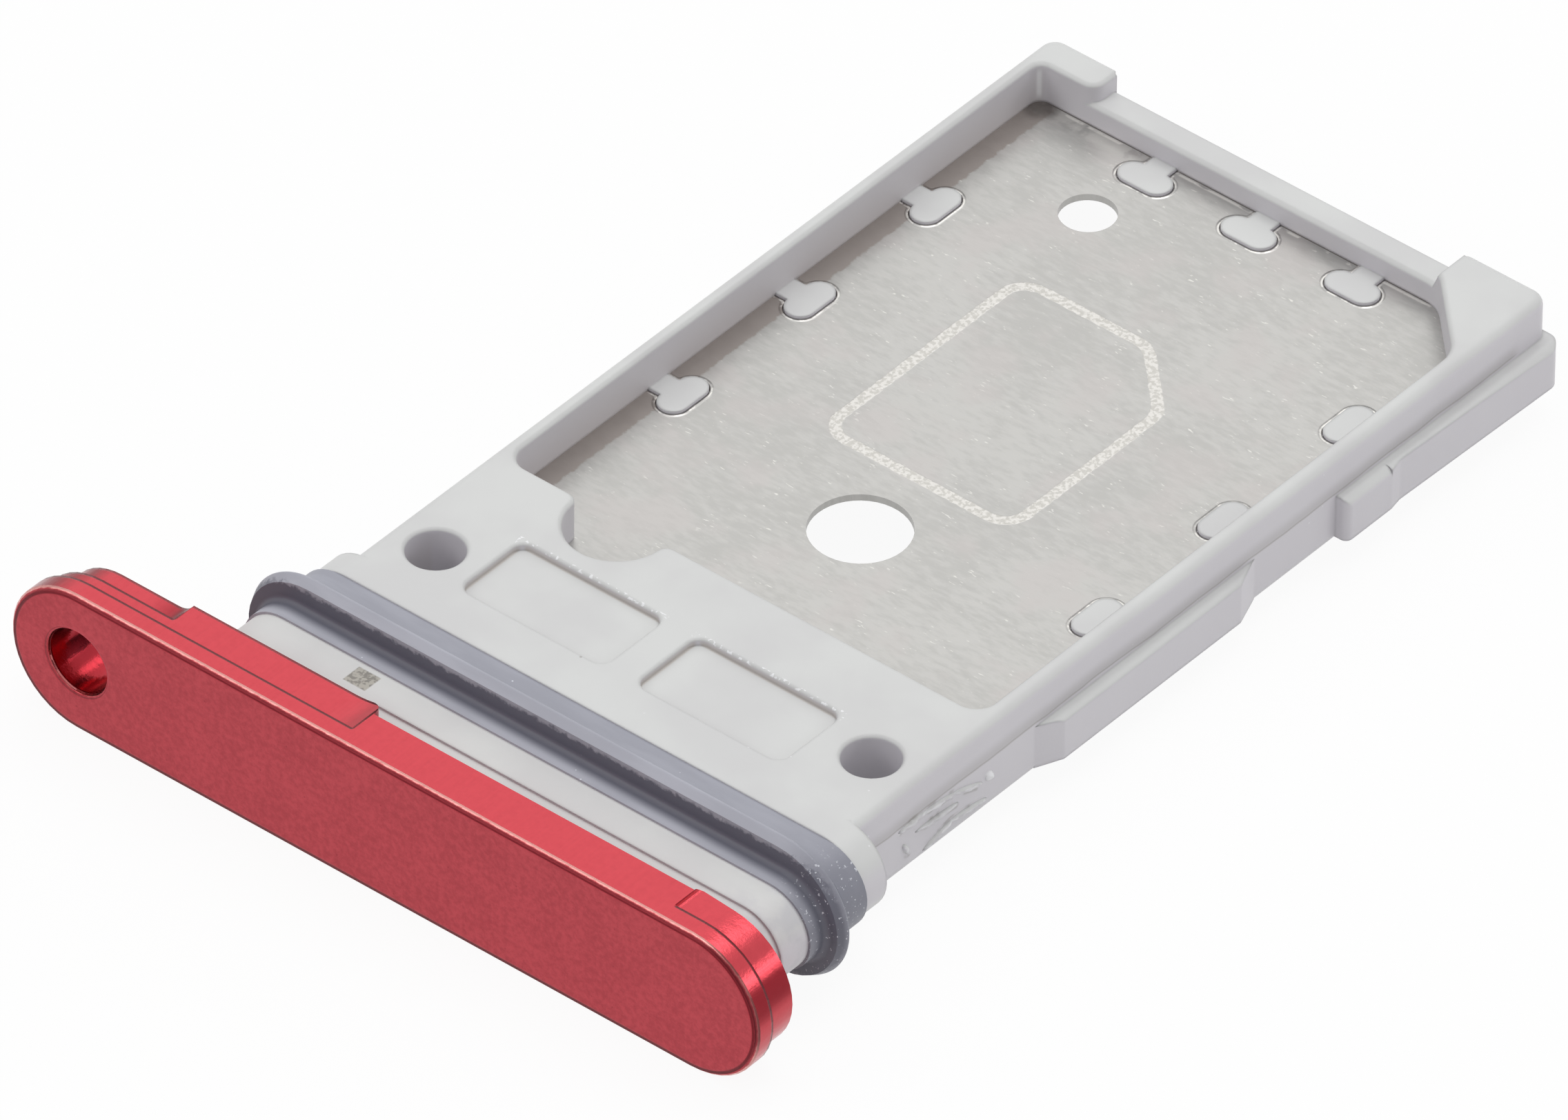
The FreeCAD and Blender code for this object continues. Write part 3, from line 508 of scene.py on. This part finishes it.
def shadeRecess(board, colour, place, centreX):
    # a shallow recess in the head: painted shade at the foot of its walls, with bright specks painted as
    # glints at its far mouth
    look = frameFinish
    x, y, z = place
    awayX = abs(x - centreX) - look["recessHalf"][0]
    awayY = abs(y - look["recessY"]) - look["recessHalf"][1]
    away = board.most(awayX, awayY)
    walls = board.inside(away, *look["recessWall"]) * board.between(z, *look["recessTop"])
    walls = walls * board.between(z, *look["recessFoot"])
    colour = board.paint(colour, look["inner"], walls * look["recessShare"])
    mouth = board.inside(away, *look["mouthEdge"]) * board.between(y, *look["mouthY"])
    mouth = mouth * board.between(z, *look["mouthZ"]) * board.patches(*look["mouthPatches"])
    return board.paint(colour, look["fleck"], mouth)


def shadeGate(board, colour, place, normalX):
    # the parting line and the torn gate on the head's right side, with a painted shadow above the line and
    # painted shade beside the gate's ridges
    look = frameFinish
    x, y, z = place
    over = z + board.waver(*look["partingWaver"]) - look["partingZ"]
    # a painted shadow above the parting line
    faded = board.between(over, *look["fadeAbove"]) * board.between(over, *look["fadeFrom"])
    parting = board.most(board.inside(over, *look["partingLine"]) * look["lineShare"],
                         faded * look["fadeShare"])
    upright = board.between(normalX, *look["partingNormal"]) * board.inside(x, *look["partingX"])
    parting = upright * board.inside(y, *look["partingY"]) * parting
    colour = board.paint(colour, look["partingShade"], parting)

    side = board.inside(x, *look["gateX"]) * board.inside(y, *look["gateY"])
    ripple = board.waver(*look["ripple"])
    across, up = y + ripple, z + ripple
    away = board.least(*(board.strokeDistance(across, up, start, end) for start, end in gateScar["ridges"]))
    torn = side * board.between(away, *look["tornWidth"]) * board.patches(*look["tornPatches"])
    colour = board.paint(colour, look["fleck"], torn * look["tornShare"])
    # painted shade beside the gate's ridges
    beside = side * board.inside(away, *look["besideWidth"]) * board.patches(*look["besidePatches"])
    colour = board.paint(colour, look["partingShade"], beside * look["besideShare"])
    burrY, burrZ = gateScar["burr"]
    burr = side * board.between(board.length(y - burrY, z - burrZ), *look["burrWidth"])
    return board.paint(colour, look["fleck"], burr)


def mouldedFrame():
    look = frameFinish
    board = Board("mouldedFrame", {"Metallic": 0.0, "Specular IOR Level": look["specular"]})
    place = board.split(board.place)
    x, y, z = place
    normalX, _, normalZ = board.split(board.normal)
    colour = board.paint(look["shade"], look["plastic"], board.patches(*look["cloud"]))
    # painted tint of the light on upright faces
    uprightLightTint = board.between(abs(normalZ), *look["sideNormal"])
    colour = board.paint(colour, look["side"], uprightLightTint * look["sideShare"])
    # painted shade on the left wall's inner side, darker towards its foot
    inner = board.inside(x, *look["innerX"]) * board.between(normalX, *look["innerNormal"])
    inner = inner * board.between(z, *look["innerZ"])
    colour = board.paint(colour, look["inner"], inner * look["innerShare"])
    for centreX in look["recessCentres"]:
        colour = shadeRecess(board, colour, place, centreX)

    flecks = board.spots(*look["fleckSize"]) * board.patches(*look["fleckPatches"])
    colour = board.paint(colour, look["fleck"], flecks * look["fleckShare"])
    dirt = board.spots(*look["dirtSize"]) * board.patches(*look["dirtPatches"])
    colour = board.paint(colour, look["dirt"], dirt * look["dirtShare"])
    colour = shadeGate(board, colour, place, normalX)
    # painted highlight in the pocket's far left corner
    glint = board.inside(x, *look["glintX"]) * board.between(y, *look["glintY"])
    glint = glint * board.inside(z, *look["glintZ"])
    colour = board.paint(colour, look["fleck"], glint * look["glintShare"])
    scuffed = board.between(x, *look["scuffX"]) * board.between(y, *look["scuffY"])
    scuffed = scuffed * board.patches(*look["scuffPatches"])
    colour = board.paint(colour, look["scuff"], scuffed * look["scuffShare"])

    dots = board.paint(look["markDark"], look["markLight"], board.patches(*look["markPatches"]))
    square = board.inside(x, *look["markX"]) * board.inside(y, *look["markY"])
    square = square * board.between(z, *look["markZ"])
    board.finish("Base Color", board.paint(colour, dots, square * look["markShare"]))

    fine = board.noise(*look["fine"])
    board.finish("Roughness", board.vary(fine, *look["roughness"]))
    board.finish("Normal", board.bump(fine, *look["fineBump"], board.rounded(look["edgeRadius"])))
    return board.material


floorFinish = {
    "steel": linear(184, 183, 180),
    "steelDark": linear(174, 173, 170),
    "cloud": (0.5, 2),
    "streaks": ((3.5, 11, 1), 3, 0.6),
    "fine": ((7, 26, 1), 1, 0.6, 0.1),     # the last is a slight turn, in radians
    "streakShare": 0.6,
    "toneRange": (0.38, 0.62),
    "glint": linear(212, 211, 206),
    "glintRange": (0.66, 0.74),
    "glintPatches": (3, 1, 0.5, 0.62),
    "glintShare": 0.85,
    "steelWarm": linear(184, 179, 177),
    "warmPatches": (0.9, 3, 0.48, 0.66),
    "warmShare": 0.5,

    "band": linear(158, 150, 145),         # a dull band beside the left wall, ragged at its inner edge: partly the plate's own colour, partly a painted reflection of the wall
    "bandDark": linear(164, 156, 151),
    "bandWidth": 0.3,
    "bandNoise": ((5, 8, 1), 3, 0.7),
    "bandRagged": 0.14,
    "bandEdge": (0.025, -0.025),
    "toneRagged": 0.2,
    "bandRange": (0.05, 0.35),
    "bandShare": 0.9,

    "rubbedFar": (0.42, 0.2),              # rubbed patches along the far wall, to the left
    "rubbedX": (-0.9, -1.6),
    "rubbedPatches": (2.6, 3, 0.42, 0.56),
    "rubbedShare": 0.6,
    "seamFar": (0.03, 0.08, 0.02),         # a broken bright seam at its foot
    "seamPatches": (3.4, 3, 0.44, 0.54),
    "seamShare": 0.8,
    # painted shade at the far wall's foot, in the corner and in the gaps round the keys
    "footFar": (0.02, 0.01),
    "foot": linear(120, 114, 110),
    "cornerPlace": (-3.4, 9.24),           # painted shade in the corner between the left and the far wall
    "cornerNoise": (5, 2),
    "cornerRagged": 0.16,
    "cornerRange": (0.5, 0.22),
    "cornerShare": 0.85,

    "keyRows": (                           # wall, axis along it, first key, pitch and reach of a row
        (pocketLeft, "y", 0.46, 2.94, 0.73),
        (pocketRight, "y", 0.46, 2.94, 0.86),
        (pocketFar, "x", -1.07, 2.0, 0.73),
    ),
    "lastKey": 2.0,                        # counted from 0
    "keyHead": (0.47, 0.25),               # half its length, and its radius
    "keyNeck": 0.22,
    "keyBlend": 0.06,
    "burr": linear(240, 238, 232),         # the stamping's burr round each key, painted bright partly as a highlight, and painted shade in the gap
    "burrWidth": (0.02, 0.06, 0.012),
    "burrPatches": (7, 2, 0.42, 0.58),
    "burrShare": 0.75,
    "gapWidth": (0.026, 0.012),
    "ridgeWidth": (0.015, 0.06, 0.02),

    "etch": linear(214, 212, 208),         # the etched outline of a card
    "etchLow": linear(194, 192, 187),
    "etchWidth": 0.19,
    "etchSoft": 0.012,
    "etchFrayed": (8, 2, 0.05, 0.7),
    "etchPatches": (15, 2, 0.42, 0.58),
    "cardLow": (-0.98, 1.24),              # the corners of its middle line
    "cardHigh": (2.6, 5.85),
    "cardCorner": 0.42,
    "cardCut": 1.12,
    "cardBlend": 0.25,

    "metallic": 0.78,
    "roughness": (0.3, 0.44),
    "etchRoughness": 0.25,
    "grainBump": (0.14, 0.006),
    "ridgeBump": (0.8, 0.02),
    "etchNoise": (18, 2),
    "etchBump": (0.5, 0.012),
}


def outlineDistance(board, x, y):
    # distance from the middle line of a card's outline with round corners and one cut corner
    (lowX, lowY), (highX, highY) = floorFinish["cardLow"], floorFinish["cardHigh"]
    corner = floorFinish["cardCorner"]
    awayX = abs(x - (lowX + highX) / 2) - ((highX - lowX) / 2 - corner)
    awayY = abs(y - (lowY + highY) / 2) - ((highY - lowY) / 2 - corner)
    outer = board.length(board.most(awayX, 0.0), board.most(awayY, 0.0))
    box = outer + board.least(board.most(awayX, awayY), 0.0) - corner
    slanted = (x + y - (highX + highY - floorFinish["cardCut"])) * math.sqrt(0.5)
    return board.math("SMOOTH_MAX", box, slanted, floorFinish["cardBlend"])


def keyDistance(board, x, y):
    # distance from the outline of the nearest key, with its neck blended into its head
    look = floorFinish
    headHalf, headRadius = look["keyHead"]
    distances = []
    for wall, axis, first, pitch, reach in look["keyRows"]:
        along, across = (y, x) if axis == "y" else (x, y)
        count = board.math("ROUND", (along - first) / pitch)
        count = board.least(board.most(count, 0.0), look["lastKey"])
        aside = along - first - count * pitch
        deep = abs(across - wall) - (reach - headRadius)
        head = board.slotDistance(aside, deep, headHalf, headRadius)
        neck = board.most(abs(aside) - look["keyNeck"], deep)
        distances.append(board.math("SMOOTH_MIN", head, neck, look["keyBlend"]))
    return board.least(*distances)


def wallsWearAndShade(board, colour, x, y):
    # what the plate shows along the left and the far wall: a band that is partly a painted reflection of the
    # wall, rubbed patches, a burr, and painted shade at the far wall's foot and in the corner
    look = floorFinish
    ragged = board.stretched(*look["bandNoise"])
    inward = x - pocketLeft
    reach = ragged * look["bandRagged"] + look["bandWidth"]
    band = board.between(inward - reach, *look["bandEdge"])
    inner = board.between(inward + ragged * look["toneRagged"], *look["bandRange"])
    bandTone = board.paint(look["bandDark"], look["band"], inner)
    colour = board.paint(colour, bandTone, band * look["bandShare"])

    fromFar = pocketFar - y
    rubbed = board.between(fromFar, *look["rubbedFar"]) * board.between(x, *look["rubbedX"])
    rubbed = rubbed * board.patches(*look["rubbedPatches"])
    colour = board.paint(colour, look["glint"], rubbed * look["rubbedShare"])
    seam = board.inside(fromFar, *look["seamFar"]) * board.patches(*look["seamPatches"])
    colour = board.paint(colour, look["burr"], seam * look["seamShare"])
    # painted shade at the far wall's foot
    colour = board.paint(colour, look["foot"], board.between(fromFar, *look["footFar"]))
    cornerX, cornerY = look["cornerPlace"]
    away = board.length(x - cornerX, y - cornerY) + board.noise(*look["cornerNoise"]) * look["cornerRagged"]
    corner = board.between(away, *look["cornerRange"])
    return board.paint(colour, look["foot"], corner * look["cornerShare"])


def stampedFloor():
    look = floorFinish
    board = Board("stampedFloor", {"Metallic": look["metallic"]})
    x, y, _ = board.split(board.place)
    streaks = board.stretched(*look["streaks"])
    fine = board.stretched(*look["fine"])
    tone = board.noise(*look["cloud"]) * (1 - look["streakShare"]) + streaks * look["streakShare"]
    colour = board.paint(look["steelDark"], look["steel"], board.between(tone, *look["toneRange"]))
    glints = board.between(fine, *look["glintRange"]) * board.patches(*look["glintPatches"])
    colour = board.paint(colour, look["glint"], glints * look["glintShare"])
    colour = board.paint(colour, look["steelWarm"], board.patches(*look["warmPatches"]) * look["warmShare"])
    colour = wallsWearAndShade(board, colour, x, y)

    fromKey = keyDistance(board, x, y)
    # the burr round each key, brightened partly as a painted highlight
    burr = board.inside(fromKey, *look["burrWidth"]) * board.patches(*look["burrPatches"])
    colour = board.paint(colour, look["burr"], burr * look["burrShare"])
    # painted shade in the gap round each key
    colour = board.paint(colour, look["foot"], board.between(fromKey, *look["gapWidth"]))

    frayed = abs(outlineDistance(board, x, y)) + board.waver(*look["etchFrayed"])
    half, soft = look["etchWidth"] / 2, look["etchSoft"]
    etched = board.between(frayed, half + soft, half - soft)
    speckle = board.paint(look["etchLow"], look["etch"], board.patches(*look["etchPatches"]))
    board.finish("Base Color", board.paint(colour, speckle, etched))

    rough = board.vary(streaks, *look["roughness"])
    board.finish("Roughness", rough + etched * look["etchRoughness"])
    grain = board.bump(streaks + fine, *look["grainBump"])
    grain = board.bump(board.inside(fromKey, *look["ridgeWidth"]), *look["ridgeBump"], grain)
    board.finish("Normal", board.bump(etched * board.noise(*look["etchNoise"]), *look["etchBump"], grain))
    return board.material


sealFinish = {
    "rubber": linear(170, 171, 181),
    "shade": linear(161, 162, 172),
    "cloud": ((0.6, 3, 3), 3),
    "cloudRange": (0.35, 0.65),
    "neckRadius": 0.73,

    "lipFace": linear(100, 101, 113),      # painted shade on the front face of the lip, below its crest
    "torn": (7, 3, 0.24, 0.7),
    "bandFront": (-7.86, -7.64),           # the painted shade begins here, before the lip's foot
    "bandTop": (0.39, 0.31),               # and ends at this height over the neck
    "bandBack": (-7.4, -7.5),
    "heel": (-7.19, -7.13, 0.015),         # painted shade at the lip's heel too
    "heelTorn": 0.15,
    "heelShare": 0.6,
    "backY": (-7.2, -7.1),
    "backShare": 0.2,
    "endX": (5.4, 6.3),
    "endCover": (0.3, 0.8),

    "dust": linear(222, 224, 232),         # dust lies on the right end, and a few specks elsewhere
    "dustX": (5.5, 6.4),
    "dustPatches": (13, 2, 0.63, 0.69, 0.8),
    "straySize": (4, 0.07),
    "strayPatches": (1.1, 1, 0.5, 0.6),
    "dustShare": 0.8,

    "fine": (20, 2),
    "roughness": (0.4, 0.55),
    "fineBump": (0.18, 0.006),
}


def sealRubber():
    look = sealFinish
    board = Board("sealRubber", {"Metallic": 0.0})
    x, y, z = board.split(board.place)
    cloud = board.stretched(*look["cloud"])
    colour = board.paint(look["shade"], look["rubber"], board.between(cloud, *look["cloudRange"]))

    # painted shade on the lip's front face
    rise = board.slotDistance(x - neckX, z - middleZ, frameHigh.x - neckX, look["neckRadius"])
    torn = board.waver(*look["torn"])
    shaded = board.between(y, *look["bandFront"]) * board.between(rise + torn, *look["bandTop"])
    colour = board.paint(colour, look["lipFace"], shaded * board.between(y, *look["bandBack"]))
    heel = board.inside(y + torn * look["heelTorn"], *look["heel"])
    colour = board.paint(colour, look["lipFace"], heel * look["heelShare"])
    # painted shade on the back slope
    colour = board.paint(colour, look["lipFace"], board.between(y, *look["backY"]) * look["backShare"])
    # the right end is darker too, in patches
    ended = board.between(x, *look["endX"]) * board.vary(cloud, *look["endCover"])
    colour = board.paint(colour, look["lipFace"], ended)

    dust = board.patches(*look["dustPatches"]) * board.between(x, *look["dustX"])
    stray = board.spots(*look["straySize"]) * board.patches(*look["strayPatches"])
    board.finish("Base Color", board.paint(colour, look["dust"], board.most(dust, stray) * look["dustShare"]))
    fine = board.noise(*look["fine"])
    board.finish("Roughness", board.vary(fine, *look["roughness"]))
    board.finish("Normal", board.bump(fine, *look["fineBump"]))
    return board.material


finishes = {
    "end_cap": anodisedCap(),
    "tray_frame": mouldedFrame(),
    "floor_plate": stampedFloor(),
    "seal": sealRubber(),
}
for node, material in finishes.items():
    for place in frame["nodes"][node].material_slots:
        place.material = material
print("finishes set on", len(finishes), "nodes")


def link(name, data):
    thing = bpy.data.objects.new(name, data)
    bpy.context.collection.objects.link(thing)
    return thing


def addBlob(sheet, place, size, tilt):
    # a flattened drop on the side, with an uneven skin
    stand = Matrix.Translation(place) @ Matrix.Rotation(tilt, 4, "X") @ Matrix.Diagonal((*size, 1))
    made = bmesh.ops.create_icosphere(sheet, subdivisions=3, radius=1.0, matrix=stand)
    (waveY, waveZ), (shiftY, shiftZ) = gateScar["dentWaves"], gateScar["dentShift"]
    for vertex in made["verts"]:
        wave = math.sin(waveY * vertex.co.y + shiftY * place[2])
        wave *= math.sin(waveZ * vertex.co.z + shiftZ * place[1])
        vertex.co.x += (vertex.co.x - place[0]) * gateScar["dent"] * wave


def tearGate():
    sheet = bmesh.new()
    sideX = gateScar["sideX"]
    for start, end in gateScar["ridges"]:
        middle = sideX, (start[0] + end[0]) / 2, (start[1] + end[1]) / 2
        half = math.dist(start, end) / 2 + gateScar["overlap"]
        tilt = math.atan2(end[1] - start[1], end[0] - start[0])
        addBlob(sheet, middle, (gateScar["proud"], half, gateScar["halfWidth"]), tilt)
    addBlob(sheet, (sideX, *gateScar["burr"]), gateScar["burrSize"], gateScar["burrTilt"])
    bmesh.ops.scale(sheet, verts=sheet.verts, vec=(mm, mm, mm))
    bmesh.ops.recalc_face_normals(sheet, faces=sheet.faces)
    mesh = bpy.data.meshes.new("gateScar")
    sheet.to_mesh(mesh)
    sheet.free()
    for face in mesh.polygons:
        face.use_smooth = True
    mesh.materials.append(finishes["tray_frame"])
    scar = link("gateScar", mesh)
    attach(scar, "root")
    print("gate scar made,", len(mesh.polygons), "faces")


tearGate()


# The floor, a little under white, and a soft studio light. Its sizes and places are in metres.
studio = {
    "floorHalf": 0.6,
    "floorZ": -0.01 * mm,       # a hair below the cap, so that the two faces don't meet
    "floorTone": 0.86,
    "floorRoughness": 0.9,
    "shadowDepth": 0.07,        # how much of its shadow the floor shows to the camera
    "skyLevel": 0.64,
    "horizonLevel": 0.16,
    "horizonTop": 0.45,         # the sky is full above this height, on a sphere of 1
    "lamps": {
        "topLamp": {"place": (0.02, 0.12, 0.5), "size": 0.45, "power": 1.0},
        "backLamp": {"place": (-0.3, 0.35, 0.38), "size": 0.36, "power": 0.11},
        "frontLamp": {"place": (-0.3, -0.39, 0.36), "size": 0.3, "power": 0.5},
        "sideLamp": {"place": (0.36, 0.3, 0.17), "size": 0.14, "power": 0.14},
    },
}
whiteRays = "Is Camera Ray", "Is Glossy Ray", "Is Transmission Ray"


def layFloor():
    sheet = bmesh.new()
    bmesh.ops.create_grid(sheet, x_segments=1, y_segments=1, size=studio["floorHalf"])
    bmesh.ops.translate(sheet, verts=sheet.verts, vec=(0, 0, studio["floorZ"]))
    mesh = bpy.data.meshes.new("studioFloor")
    sheet.to_mesh(mesh)
    sheet.free()
    tone = studio["floorTone"]
    board = Board("studioFloor", {"Base Color": (tone, tone, tone, 1), "Specular IOR Level": 0.0,
                                  "Roughness": studio["floorRoughness"]})
    # the camera sees it white with a light shadow, and so does what mirrors it
    rays = board.add("ShaderNodeLightPath").outputs
    share = board.most(*(rays[ray] for ray in whiteRays)) * (1 - studio["shadowDepth"])
    white = board.add("ShaderNodeEmission", {"Color": (1, 1, 1, 1), "Strength": 1.0}).outputs[0]
    mixed = board.add("ShaderNodeMixShader", {0: share, 1: board.shader.outputs[0], 2: white}).outputs[0]
    board.feed(board.tree.nodes["Material Output"].inputs["Surface"], mixed)
    mesh.materials.append(board.material)
    link("studioFloor", mesh)


def hangLamp(name, settings):
    lamp = bpy.data.lights.new(name, "AREA")
    lamp.shape = "DISK"
    lamp.size = settings["size"]
    lamp.energy = settings["power"]
    hung = link(name, lamp)
    hung.location = settings["place"]
    hung.rotation_mode = "QUATERNION"
    hung.rotation_quaternion = (-Vector(settings["place"])).to_track_quat("-Z", "Y")


def lightSky():
    # it lights the tray softly, more from above
    world = bpy.data.worlds.new("studioSky")
    bpy.context.scene.world = world
    world.use_nodes = True
    tree = world.node_tree
    sky = tree.nodes["Background"]
    sky.inputs["Color"].default_value = (1, 1, 1, 1)
    height = tree.nodes.new("ShaderNodeSeparateXYZ")
    tree.links.new(tree.nodes.new("ShaderNodeTexCoord").outputs["Generated"], height.inputs[0])
    level = tree.nodes.new("ShaderNodeMapRange")
    level.interpolation_type = "SMOOTHSTEP"
    tree.links.new(height.outputs["Z"], level.inputs["Value"])
    for socket, value in (("From Min", 0.0), ("From Max", studio["horizonTop"]),
                          ("To Min", studio["horizonLevel"]), ("To Max", studio["skyLevel"])):
        level.inputs[socket].default_value = value
    # the camera, and what mirrors or lets the light through, see plain white
    rays = tree.nodes.new("ShaderNodeLightPath")
    strength = level.outputs["Result"]
    for ray in whiteRays:
        larger = tree.nodes.new("ShaderNodeMath")
        larger.operation = "MAXIMUM"
        tree.links.new(strength, larger.inputs[0])
        tree.links.new(rays.outputs[ray], larger.inputs[1])
        strength = larger.outputs[0]
    tree.links.new(strength, sky.inputs["Strength"])


# The camera stands where the photo was taken from, far away and with a long lens. Its angles are
# in degrees and its places in millimetres.
lens = {
    "azimuth": 39.5484,
    "elevation": 39.6221,
    "roll": 0.5720,
    "focal": 40406.0,           # pixels, in an image of this width
    "pictureWidth": 2273,
    "sensorWidth": 36,
    "target": (1.055, -5.3035, 2.0678),
    "distance": 408.1006,
    "shift": (2.04792, 1.49975),     # to the right and up, as the picture shows it
    "clip": (0.01, 10),         # metres
}


def placeCamera():
    turn, rise, roll = (math.radians(lens[name]) for name in ("azimuth", "elevation", "roll"))
    back = Vector((math.sin(turn) * math.cos(rise), -math.cos(turn) * math.cos(rise), math.sin(rise)))
    level = Vector((math.cos(turn), math.sin(turn), 0))
    over = back.cross(level)
    right = level * math.cos(roll) + over * math.sin(roll)
    up = over * math.cos(roll) - level * math.sin(roll)
    shiftRight, shiftUp = lens["shift"]
    stand = Vector(lens["target"]) + back * lens["distance"] + right * shiftRight + up * shiftUp
    data = bpy.data.cameras.new("photoCamera")
    data.sensor_width = lens["sensorWidth"]
    data.lens = lens["sensorWidth"] * lens["focal"] / lens["pictureWidth"]
    data.clip_start, data.clip_end = lens["clip"]
    camera = link("photoCamera", data)
    turned = Matrix((right, up, back)).transposed().to_4x4()
    camera.matrix_world = Matrix.Translation(stand * mm) @ turned
    bpy.context.scene.camera = camera


layFloor()
lightSky()
for lampName, settings in studio["lamps"].items():
    hangLamp(lampName, settings)
placeCamera()
bpy.context.scene.view_settings.view_transform = "Standard"
print("studio and camera placed")
